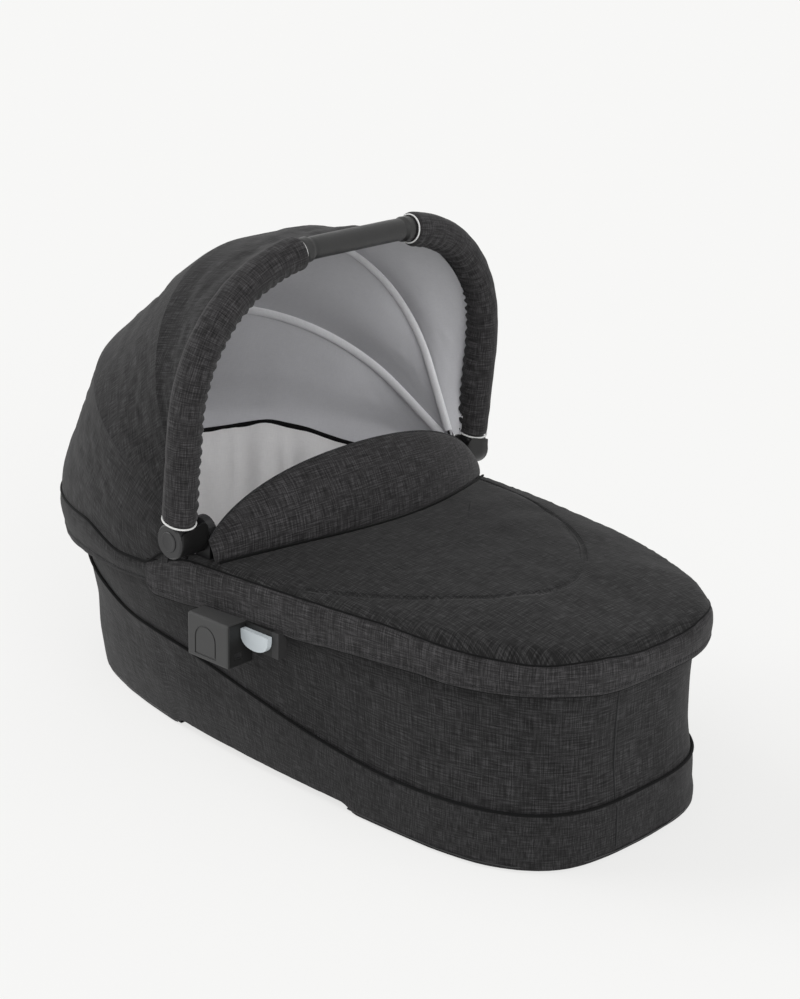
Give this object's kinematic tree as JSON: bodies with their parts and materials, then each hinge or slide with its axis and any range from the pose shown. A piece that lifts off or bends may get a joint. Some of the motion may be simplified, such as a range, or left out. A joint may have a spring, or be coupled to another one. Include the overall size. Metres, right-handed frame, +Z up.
{
  "type": "carrycot",
  "caption": "Pushchair carrycot: fabric body on a moulded base, folding hood with carry handle, apron with wind flap, chassis adapters with release levers.",
  "frame": {"origin": "on the floor, below the middle of the overall size", "axes": "+Z up, X along the cot with the foot end at +X, Y across"},
  "size_m": [0.854, 0.517, 0.6003],
  "materials": {
    "plastic_black": "fine matt texture",
    "plastic_pale": "smooth satin, pale blue-grey",
    "rubber_black": "matt",
    "board": "raw pressed board",
    "ticking_white": "quilted white cotton",
    "cloth_charcoal": "coarse charcoal melange weave",
    "cloth_grey": "light grey cotton jersey",
    "tube_aluminium": "drawn tube",
    "steel": "bright zinc plated",
    "grip_black": "grained imitation leather"
  },
  "bodies": {
    "base": {"base_tray": "plastic_black", "foot_pad_head_left": "rubber_black", "foot_pad_head_right": "rubber_black", "foot_pad_foot_left": "rubber_black", "foot_pad_foot_right": "rubber_black", "base_board": "board", "mattress": "ticking_white", "side_wall": "cloth_charcoal", "lower_band": "cloth_charcoal", "liner": "cloth_grey"},
    "rim": {"rim_tube": "tube_aluminium", "rim_cover": "cloth_charcoal", "apron": "cloth_charcoal", "valance": "cloth_charcoal", "canopy_rear": "cloth_charcoal", "hub_mount_left": "plastic_black", "hub_mount_right": "plastic_black", "hub_pin_left": "steel", "hub_pin_right": "steel", "adapter_left": "plastic_black", "adapter_right": "plastic_black", "stay_clip_head_left": "plastic_black", "stay_clip_head_right": "plastic_black", "stay_clip_foot_left": "plastic_black", "stay_clip_foot_right": "plastic_black"},
    "stay_head_wire": {"stay_head": "steel"},
    "stay_foot_wire": {"stay_foot": "steel"},
    "rear_bow": {"canopy_panel_1": "cloth_charcoal", "canopy_rib_rear": "plastic_black"},
    "front_bow": {"canopy_panel_2": "cloth_charcoal", "canopy_rib_front": "plastic_black"},
    "handle": {"bow_tube": "tube_aluminium", "carry_grip": "grip_black", "canopy_panel_3": "cloth_charcoal", "canopy_hem": "cloth_charcoal", "handle_hub_left": "plastic_black", "handle_hub_right": "plastic_black", "bow_sleeve_left": "cloth_charcoal", "bow_sleeve_right": "cloth_charcoal"},
    "button_left": {"hub_button_left": "plastic_black"},
    "button_right": {"hub_button_right": "plastic_black"},
    "lever_left": {"release_lever_left": "plastic_pale"},
    "lever_right": {"release_lever_right": "plastic_pale"},
    "latch_left": {"latch_left": "steel"},
    "latch_right": {"latch_right": "steel"},
    "flap": {"wind_flap": "cloth_charcoal"}
  },
  "joints": [
    {"name": "flat_fold", "type": "slide", "parent": "base", "child": "rim", "axis": [0, 0, 1], "range_m": [-0.12, 0], "deforming": ["side_wall", "lower_band", "liner"]},
    {"name": "stay_head_swing", "type": "hinge", "parent": "rim", "child": "stay_head_wire", "pos_m": [-0.29, 0, 0.22795], "axis": [0, -1, 0], "range_deg": [0, 34]},
    {"name": "stay_foot_swing", "type": "hinge", "parent": "rim", "child": "stay_foot_wire", "pos_m": [0.3, 0, 0.22756], "axis": [0, 1, 0], "range_deg": [0, 34]},
    {"name": "hood_fold", "type": "hinge", "parent": "rim", "child": "rear_bow", "pos_m": [-0.055, 0, 0.28], "axis": [0, -1, 0], "range_deg": [0, 24]},
    {"name": "hood_fold_front", "type": "hinge", "parent": "rear_bow", "child": "front_bow", "pos_m": [-0.055, 0, 0.28], "axis": [0, -1, 0], "range_deg": [0, 24]},
    {"name": "handle_turn", "type": "hinge", "parent": "front_bow", "child": "handle", "pos_m": [-0.055, 0, 0.28], "axis": [0, -1, 0], "range_deg": [0, 24]},
    {"name": "button_press_left", "type": "slide", "parent": "handle", "child": "button_left", "axis": [0, -1, 0], "range_m": [0, 0.003], "stiffness_N_per_m": 600, "springref_m": -0.001},
    {"name": "button_press_right", "type": "slide", "parent": "handle", "child": "button_right", "axis": [0, 1, 0], "range_m": [0, 0.003], "stiffness_N_per_m": 600, "springref_m": -0.001},
    {"name": "lever_pull_left", "type": "slide", "parent": "rim", "child": "lever_left", "axis": [0, 0, 1], "range_m": [0, 0.0055], "stiffness_N_per_m": 500, "springref_m": -0.001},
    {"name": "latch_draw_left", "type": "slide", "parent": "rim", "child": "latch_left", "axis": [1, 0, 0], "range_m": [0, 0.0042]},
    {"name": "lever_pull_right", "type": "slide", "parent": "rim", "child": "lever_right", "axis": [0, 0, 1], "range_m": [0, 0.0055], "stiffness_N_per_m": 500, "springref_m": -0.001},
    {"name": "latch_draw_right", "type": "slide", "parent": "rim", "child": "latch_right", "axis": [1, 0, 0], "range_m": [0, 0.0042]},
    {"name": "flap_turn", "type": "hinge", "parent": "rim", "child": "flap", "pos_m": [0.04828, 0, 0.27527], "axis": [0, 1, 0], "range_deg": [0, 60]}
  ],
  "couplings": [
    {"joint": "stay_head_swing", "follows": "flat_fold", "rad_per_m": -4.787},
    {"joint": "stay_foot_swing", "follows": "flat_fold", "rad_per_m": -4.796},
    {"joint": "hood_fold_front", "follows": "hood_fold", "ratio": 1},
    {"joint": "handle_turn", "follows": "hood_fold", "ratio": 1},
    {"joint": "latch_draw_left", "follows": "lever_pull_left", "ratio": 0.7273},
    {"joint": "latch_draw_right", "follows": "lever_pull_right", "ratio": 0.7273}
  ]
}
